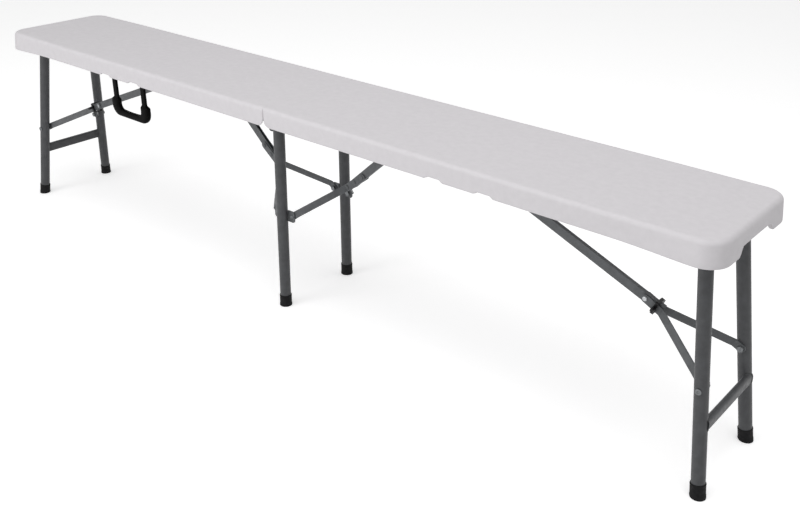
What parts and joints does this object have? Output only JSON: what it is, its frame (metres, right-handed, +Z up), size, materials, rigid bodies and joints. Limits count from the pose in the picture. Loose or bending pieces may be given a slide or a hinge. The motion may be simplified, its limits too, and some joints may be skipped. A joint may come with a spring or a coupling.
{
  "type": "folding bench",
  "caption": "Long narrow folding bench with a moulded two-part seat, splayed tube legs, forked brace links, locking rings and a carry handle.",
  "frame": {"origin": "on the floor below the middle of the open bench", "axes": "+X along the seat towards the half without the carry handle, -Y towards the side with the carry handle, +Z up"},
  "size_m": [1.8932, 0.264, 0.444],
  "materials": {
    "seat_plastic": "moulded pale grey-white, slightly textured",
    "powder_coat": "dark grey powder coat",
    "zinc_steel": "bright zinc-plated steel",
    "dark_zinc": "dull plated steel",
    "black_rubber": "black moulded rubber",
    "black_plastic": "black moulded plastic",
    "black_ring": "black coated steel"
  },
  "bodies": {
    "left_half": {"seat_half_left": "seat_plastic", "side_rails_left": "powder_coat", "seat_screws_left": "zinc_steel", "centre_hinge_plates_left": "powder_coat", "leg_hangers_left": "powder_coat", "leg_pivot_rod_left": "dark_zinc", "brace_brackets_left": "powder_coat", "brace_pins_left": "zinc_steel", "middle_pivot_rod": "dark_zinc", "handle_bracket": "powder_coat", "handle_pins": "zinc_steel"},
    "right_half": {"seat_half_right": "seat_plastic", "side_rails_right": "powder_coat", "seat_screws_right": "zinc_steel", "centre_hinge_plates_right": "powder_coat", "leg_hangers_right": "powder_coat", "leg_pivot_rod_right": "dark_zinc", "brace_brackets_right": "powder_coat", "brace_pins_right": "zinc_steel"},
    "middle_legs": {"leg_middle_far": "powder_coat", "leg_middle_near": "powder_coat", "feet_middle": "black_rubber", "leg_sleeves_middle": "powder_coat", "middle_leg_tabs": "powder_coat", "middle_leg_bolts": "zinc_steel"},
    "end_legs_left": {"leg_left_far": "powder_coat", "leg_left_near": "powder_coat", "feet_left": "black_rubber", "leg_sleeves_left": "powder_coat", "crossbar_left": "powder_coat", "leg_bolts_left": "zinc_steel"},
    "end_link_left": {"end_link_left": "powder_coat", "end_brace_rivet_left": "zinc_steel"},
    "end_straps_left": {"end_strap_left_far": "powder_coat", "end_strap_left_near": "powder_coat", "strap_nuts_left": "zinc_steel"},
    "lock_ring_left": {"lock_ring_left": "black_ring"},
    "middle_link_left": {"middle_link_left": "powder_coat"},
    "middle_straps_left": {"middle_strap_left_far": "powder_coat", "middle_strap_left_near": "powder_coat", "middle_strap_rivets_left": "zinc_steel"},
    "end_legs_right": {"leg_right_far": "powder_coat", "leg_right_near": "powder_coat", "feet_right": "black_rubber", "leg_sleeves_right": "powder_coat", "crossbar_right": "powder_coat", "leg_bolts_right": "zinc_steel"},
    "end_link_right": {"end_link_right": "powder_coat", "end_brace_rivet_right": "zinc_steel"},
    "end_straps_right": {"end_strap_right_far": "powder_coat", "end_strap_right_near": "powder_coat", "strap_nuts_right": "zinc_steel"},
    "lock_ring_right": {"lock_ring_right": "black_ring"},
    "middle_link_right": {"middle_link_right": "powder_coat"},
    "middle_straps_right": {"middle_strap_right_far": "powder_coat", "middle_strap_right_near": "powder_coat", "middle_strap_rivets_right": "zinc_steel"},
    "carry_handle": {"carry_handle": "black_plastic"}
  },
  "joints": [
    {"name": "seat_fold", "type": "hinge", "parent": "left_half", "child": "right_half", "pos_m": [0, 0, 0.3994], "axis": [0, 1, 0], "range_deg": [0, 180]},
    {"name": "middle_legs_fold", "type": "hinge", "parent": "left_half", "child": "middle_legs", "pos_m": [0, 0, 0.3994], "axis": [0, 1, 0], "range_deg": [0, 90.02]},
    {"name": "end_legs_right_fold", "type": "hinge", "parent": "right_half", "child": "end_legs_right", "pos_m": [0.8674, 0, 0.414], "axis": [0, 1, 0], "range_deg": [0, 99.06]},
    {"name": "end_link_right_turn", "type": "hinge", "parent": "right_half", "child": "end_link_right", "pos_m": [0.333, 0, 0.4276], "axis": [0, 1, 0], "range_deg": [-21.88, 0]},
    {"name": "end_straps_right_turn", "type": "hinge", "parent": "end_link_right", "child": "end_straps_right", "pos_m": [0.76092, 0, 0.25592], "axis": [0, 1, 0], "range_deg": [0, 170.33]},
    {"name": "lock_ring_right_slide", "type": "slide", "parent": "end_link_right", "child": "lock_ring_right", "axis": [-0.9281, 0, 0.3724], "range_m": [0, 0.3752]},
    {"name": "middle_link_right_turn", "type": "hinge", "parent": "right_half", "child": "middle_link_right", "pos_m": [0.275, 0, 0.4259], "axis": [0, 1, 0], "range_deg": [0, 42.42]},
    {"name": "middle_straps_right_turn", "type": "hinge", "parent": "middle_legs", "child": "middle_straps_right", "pos_m": [0.021, 0, 0.207], "axis": [0, 1, 0], "range_deg": [-52.78, 0]},
    {"name": "end_legs_left_fold", "type": "hinge", "parent": "left_half", "child": "end_legs_left", "pos_m": [-0.8674, 0, 0.414], "axis": [0, 1, 0], "range_deg": [-99.06, 0]},
    {"name": "end_link_left_turn", "type": "hinge", "parent": "left_half", "child": "end_link_left", "pos_m": [-0.333, 0, 0.4276], "axis": [0, 1, 0], "range_deg": [0, 21.88]},
    {"name": "end_straps_left_turn", "type": "hinge", "parent": "end_link_left", "child": "end_straps_left", "pos_m": [-0.76092, 0, 0.25592], "axis": [0, 1, 0], "range_deg": [-170.33, 0]},
    {"name": "lock_ring_left_slide", "type": "slide", "parent": "end_link_left", "child": "lock_ring_left", "axis": [0.9281, 0, 0.3724], "range_m": [0, 0.3752]},
    {"name": "middle_link_left_turn", "type": "hinge", "parent": "left_half", "child": "middle_link_left", "pos_m": [-0.275, 0, 0.4259], "axis": [0, 1, 0], "range_deg": [-42.42, 0]},
    {"name": "middle_straps_left_turn", "type": "hinge", "parent": "middle_legs", "child": "middle_straps_left", "pos_m": [-0.021, 0, 0.207], "axis": [0, 1, 0], "range_deg": [0, 52.78]},
    {"name": "carry_handle_swing", "type": "hinge", "parent": "left_half", "child": "carry_handle", "pos_m": [-0.4655, -0.108, 0.413], "axis": [1, 0, 0], "range_deg": [-67.02, 0]}
  ],
  "couplings": [
    {"joint": "middle_legs_fold", "follows": "seat_fold", "ratio": 0.5},
    {"joint": "end_legs_right_fold", "follows": "seat_fold", "ratio": 0.55025},
    {"joint": "end_link_right_turn", "follows": "seat_fold", "ratio": -0.12145},
    {"joint": "end_straps_right_turn", "follows": "seat_fold", "ratio": 0.94614},
    {"joint": "lock_ring_right_slide", "follows": "seat_fold", "m_per_rad": 0.11937},
    {"joint": "middle_link_right_turn", "follows": "seat_fold", "ratio": 0.23556},
    {"joint": "middle_straps_right_turn", "follows": "seat_fold", "ratio": -0.29313},
    {"joint": "end_legs_left_fold", "follows": "seat_fold", "ratio": -0.55025},
    {"joint": "end_link_left_turn", "follows": "seat_fold", "ratio": 0.12145},
    {"joint": "end_straps_left_turn", "follows": "seat_fold", "ratio": -0.94614},
    {"joint": "lock_ring_left_slide", "follows": "seat_fold", "m_per_rad": 0.11937},
    {"joint": "middle_link_left_turn", "follows": "seat_fold", "ratio": -0.23556},
    {"joint": "middle_straps_left_turn", "follows": "seat_fold", "ratio": 0.29313},
    {"joint": "carry_handle_swing", "follows": "seat_fold", "ratio": -0.37222}
  ]
}
